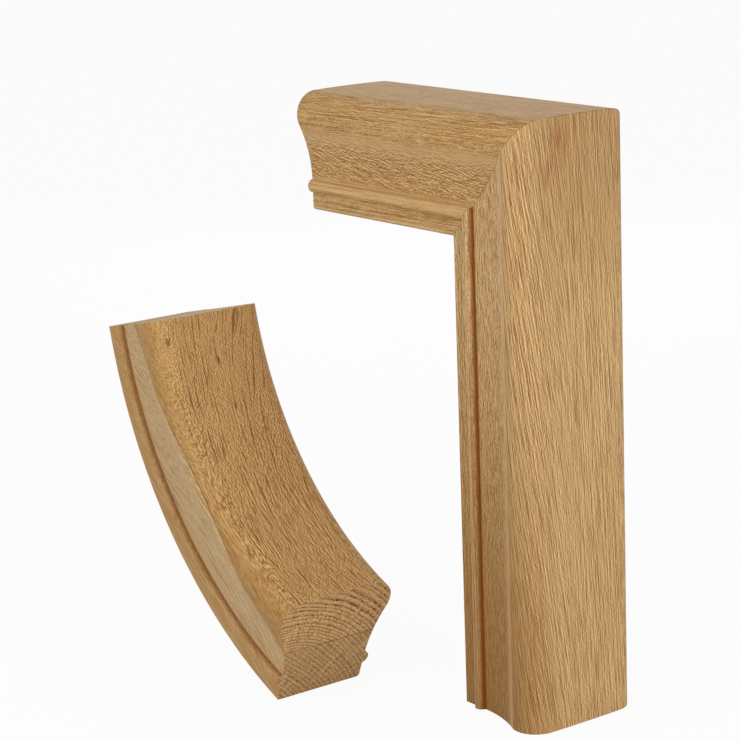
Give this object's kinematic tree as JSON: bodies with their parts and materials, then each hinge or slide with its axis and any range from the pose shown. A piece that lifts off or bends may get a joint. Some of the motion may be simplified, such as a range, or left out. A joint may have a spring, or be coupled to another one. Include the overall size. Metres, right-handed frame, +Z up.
{
  "type": "handrail gooseneck fitting",
  "caption": "Unfinished oak gooseneck fitting for a stair handrail: a level leg mitred to a drop leg, and the curved easing that turns the drop into the slope.",
  "frame": {"origin": "middle of the drop leg's square foot, on the floor", "axes": "+Z up along the drop leg, -X along the level leg towards its free end, -Y towards the easing"},
  "size_m": [0.2647, 0.1353, 0.293],
  "materials": {
    "drop_oak": "bare, sanded",
    "level_oak": "bare, sanded",
    "dowel_beech": "bare, sanded",
    "easing_upper_oak": "bare, sanded",
    "easing_lower_oak": "bare, sanded"
  },
  "bodies": {
    "root": {"drop_leg": "drop_oak", "level_leg": "level_oak", "near_dowel": "dowel_beech", "far_dowel": "dowel_beech", "easing_upper_board": "easing_upper_oak", "easing_lower_board": "easing_lower_oak"}
  },
  "joints": []
}
